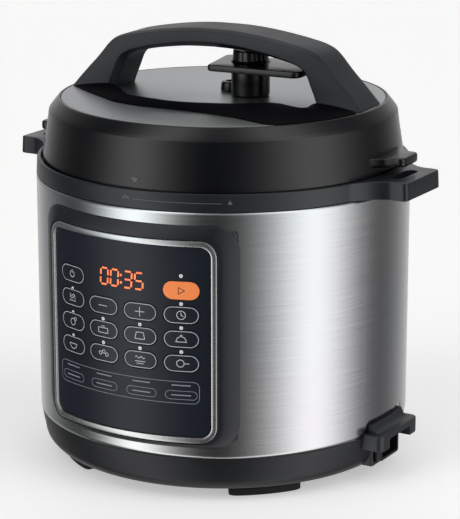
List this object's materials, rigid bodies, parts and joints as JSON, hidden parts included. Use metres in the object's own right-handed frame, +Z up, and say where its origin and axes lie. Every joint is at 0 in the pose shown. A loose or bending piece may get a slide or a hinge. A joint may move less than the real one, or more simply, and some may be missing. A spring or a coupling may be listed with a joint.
{
  "type": "electric pressure cooker",
  "caption": "Six litre class electric pressure cooker: steel body, front control panel with keys, arch-handled lid that turns and lifts, release valve, removable pot.",
  "frame": {"origin": "centre of the bounding box in plan, on the floor plane under the feet; the vessel axis is parallel to Z, 6.25 mm towards the front", "axes": "+Z up, -Y towards the control panel, +X towards the power inlet side"},
  "size_m": [0.323, 0.2952, 0.314],
  "materials": {
    "brushed_steel": "stainless sheet brushed round the body",
    "satin_steel": "satin pressed stainless steel",
    "aluminium": "bare cast or spun aluminium",
    "lid_black": "satin moulded black plastic",
    "handle_black": "fine-textured moulded black plastic",
    "collar_black": "moulded black plastic, light sheen",
    "base_black": "moulded black plastic",
    "surround_blue": "matt blue-black moulded plastic",
    "gloss_panel": "glossy blue-black control film",
    "key_dark": "glossy dark key with a light outline",
    "key_orange": "orange start key",
    "silicone": "translucent white silicone",
    "rubber": "black rubber",
    "board_green": "circuit board",
    "clear_plastic": "clear moulded plastic"
  },
  "bodies": {
    "body": {"base_shell": "base_black", "bottom_cover": "base_black", "foot_front_left": "rubber", "foot_front_right": "rubber", "foot_back_right": "rubber", "foot_back_left": "rubber", "power_inlet_housing": "base_black", "power_inlet_socket": "base_black", "power_inlet_pin_1": "satin_steel", "power_inlet_pin_2": "satin_steel", "power_inlet_pin_3": "satin_steel", "outer_wrap": "brushed_steel", "top_collar": "collar_black", "liner_pot": "aluminium", "locking_ring": "satin_steel", "heating_plate": "aluminium", "heating_element": "satin_steel", "heat_shield": "aluminium", "sensor_spring": "satin_steel", "power_board": "board_green", "panel_surround": "surround_blue", "panel_bezel": "satin_steel", "panel_face": "gloss_panel", "panel_carrier": "base_black", "display_module": "base_black", "control_board": "board_green", "cup_rail": "collar_black"},
    "pot": {"inner_pot": "satin_steel"},
    "inner_cover": {"inner_cover_plate": "satin_steel", "sealing_ring": "silicone", "cover_stud": "satin_steel", "anti_block_cap": "satin_steel"},
    "lid": {"lid_shell": "lid_black", "lid_disc": "satin_steel", "lid_handle": "handle_black", "handle_skirt": "handle_black", "valve_sleeve": "lid_black", "exhaust_stem": "satin_steel", "float_guard": "lid_black", "pressure_plate": "satin_steel", "lid_underside": "lid_black", "stud_nut": "satin_steel"},
    "release_valve": {"valve_lever": "lid_black"},
    "float_valve": {"float_valve": "satin_steel"},
    "sensor": {"thermostat_sensor": "aluminium"},
    "condensate_cup": {"condensate_cup": "clear_plastic"},
    "key_1_1": {"key_1_1": "key_dark"},
    "key_1_2": {"key_1_2": "key_dark"},
    "key_1_3": {"key_1_3": "key_dark"},
    "key_1_4": {"key_1_4": "key_dark"},
    "key_2_1": {"key_2_1": "key_dark"},
    "key_2_2": {"key_2_2": "key_dark"},
    "key_2_3": {"key_2_3": "key_dark"},
    "key_3_1": {"key_3_1": "key_dark"},
    "key_3_2": {"key_3_2": "key_dark"},
    "key_3_3": {"key_3_3": "key_dark"},
    "key_4_1": {"key_4_1": "key_dark"},
    "key_4_2": {"key_4_2": "key_dark"},
    "key_4_3": {"key_4_3": "key_dark"},
    "key_4_4": {"key_4_4": "key_orange"}
  },
  "joints": [
    {"name": "lid_lift", "type": "slide", "parent": "body", "child": "inner_cover", "axis": [0, 0, 1], "range_m": [0, 0.36]},
    {"name": "lid_turn", "type": "hinge", "parent": "inner_cover", "child": "lid", "pos_m": [0, -0.00625, 0.24], "axis": [0, 0, 1], "range_deg": [-2.9, 30.1]},
    {"name": "pot_lift", "type": "slide", "parent": "body", "child": "pot", "axis": [0, 0, 1], "range_m": [0, 0.18]},
    {"name": "valve_turn", "type": "hinge", "parent": "lid", "child": "release_valve", "pos_m": [0.01757, 0.00265, 0.285], "axis": [0, 0, 1], "range_deg": [-30, 0]},
    {"name": "float_rise", "type": "slide", "parent": "lid", "child": "float_valve", "axis": [0, 0, 1], "range_m": [0, 0.004]},
    {"name": "sensor_press", "type": "slide", "parent": "body", "child": "sensor", "axis": [0, 0, -1], "range_m": [0, 0.002], "stiffness_N_per_m": 800, "springref_m": -0.001, "deforming": ["sensor_spring"]},
    {"name": "cup_slide", "type": "slide", "parent": "body", "child": "condensate_cup", "axis": [0, 1, 0], "range_m": [0, 0.04]},
    {"name": "key_1_1_press", "type": "slide", "parent": "body", "child": "key_1_1", "axis": [0.3165, 0.9486, 0], "range_m": [0, 0.0006], "stiffness_N_per_m": 1500},
    {"name": "key_1_2_press", "type": "slide", "parent": "body", "child": "key_1_2", "axis": [0.3165, 0.9486, 0], "range_m": [0, 0.0006], "stiffness_N_per_m": 1500},
    {"name": "key_1_3_press", "type": "slide", "parent": "body", "child": "key_1_3", "axis": [0.3165, 0.9486, 0], "range_m": [0, 0.0006], "stiffness_N_per_m": 1500},
    {"name": "key_1_4_press", "type": "slide", "parent": "body", "child": "key_1_4", "axis": [0.3165, 0.9486, 0], "range_m": [0, 0.0006], "stiffness_N_per_m": 1500},
    {"name": "key_2_1_press", "type": "slide", "parent": "body", "child": "key_2_1", "axis": [0.1071, 0.9942, 0], "range_m": [0, 0.0006], "stiffness_N_per_m": 1500},
    {"name": "key_2_2_press", "type": "slide", "parent": "body", "child": "key_2_2", "axis": [0.1071, 0.9942, 0], "range_m": [0, 0.0006], "stiffness_N_per_m": 1500},
    {"name": "key_2_3_press", "type": "slide", "parent": "body", "child": "key_2_3", "axis": [0.1071, 0.9942, 0], "range_m": [0, 0.0006], "stiffness_N_per_m": 1500},
    {"name": "key_3_1_press", "type": "slide", "parent": "body", "child": "key_3_1", "axis": [-0.1071, 0.9942, 0], "range_m": [0, 0.0006], "stiffness_N_per_m": 1500},
    {"name": "key_3_2_press", "type": "slide", "parent": "body", "child": "key_3_2", "axis": [-0.1071, 0.9942, 0], "range_m": [0, 0.0006], "stiffness_N_per_m": 1500},
    {"name": "key_3_3_press", "type": "slide", "parent": "body", "child": "key_3_3", "axis": [-0.1071, 0.9942, 0], "range_m": [0, 0.0006], "stiffness_N_per_m": 1500},
    {"name": "key_4_1_press", "type": "slide", "parent": "body", "child": "key_4_1", "axis": [-0.3165, 0.9486, 0], "range_m": [0, 0.0006], "stiffness_N_per_m": 1500},
    {"name": "key_4_2_press", "type": "slide", "parent": "body", "child": "key_4_2", "axis": [-0.3165, 0.9486, 0], "range_m": [0, 0.0006], "stiffness_N_per_m": 1500},
    {"name": "key_4_3_press", "type": "slide", "parent": "body", "child": "key_4_3", "axis": [-0.3165, 0.9486, 0], "range_m": [0, 0.0006], "stiffness_N_per_m": 1500},
    {"name": "key_4_4_press", "type": "slide", "parent": "body", "child": "key_4_4", "axis": [-0.3165, 0.9486, 0], "range_m": [0, 0.0006], "stiffness_N_per_m": 1500}
  ],
  "couplings": [
    {"joint": "pot_lift", "follows": "lid_lift", "ratio": 0.5}
  ]
}
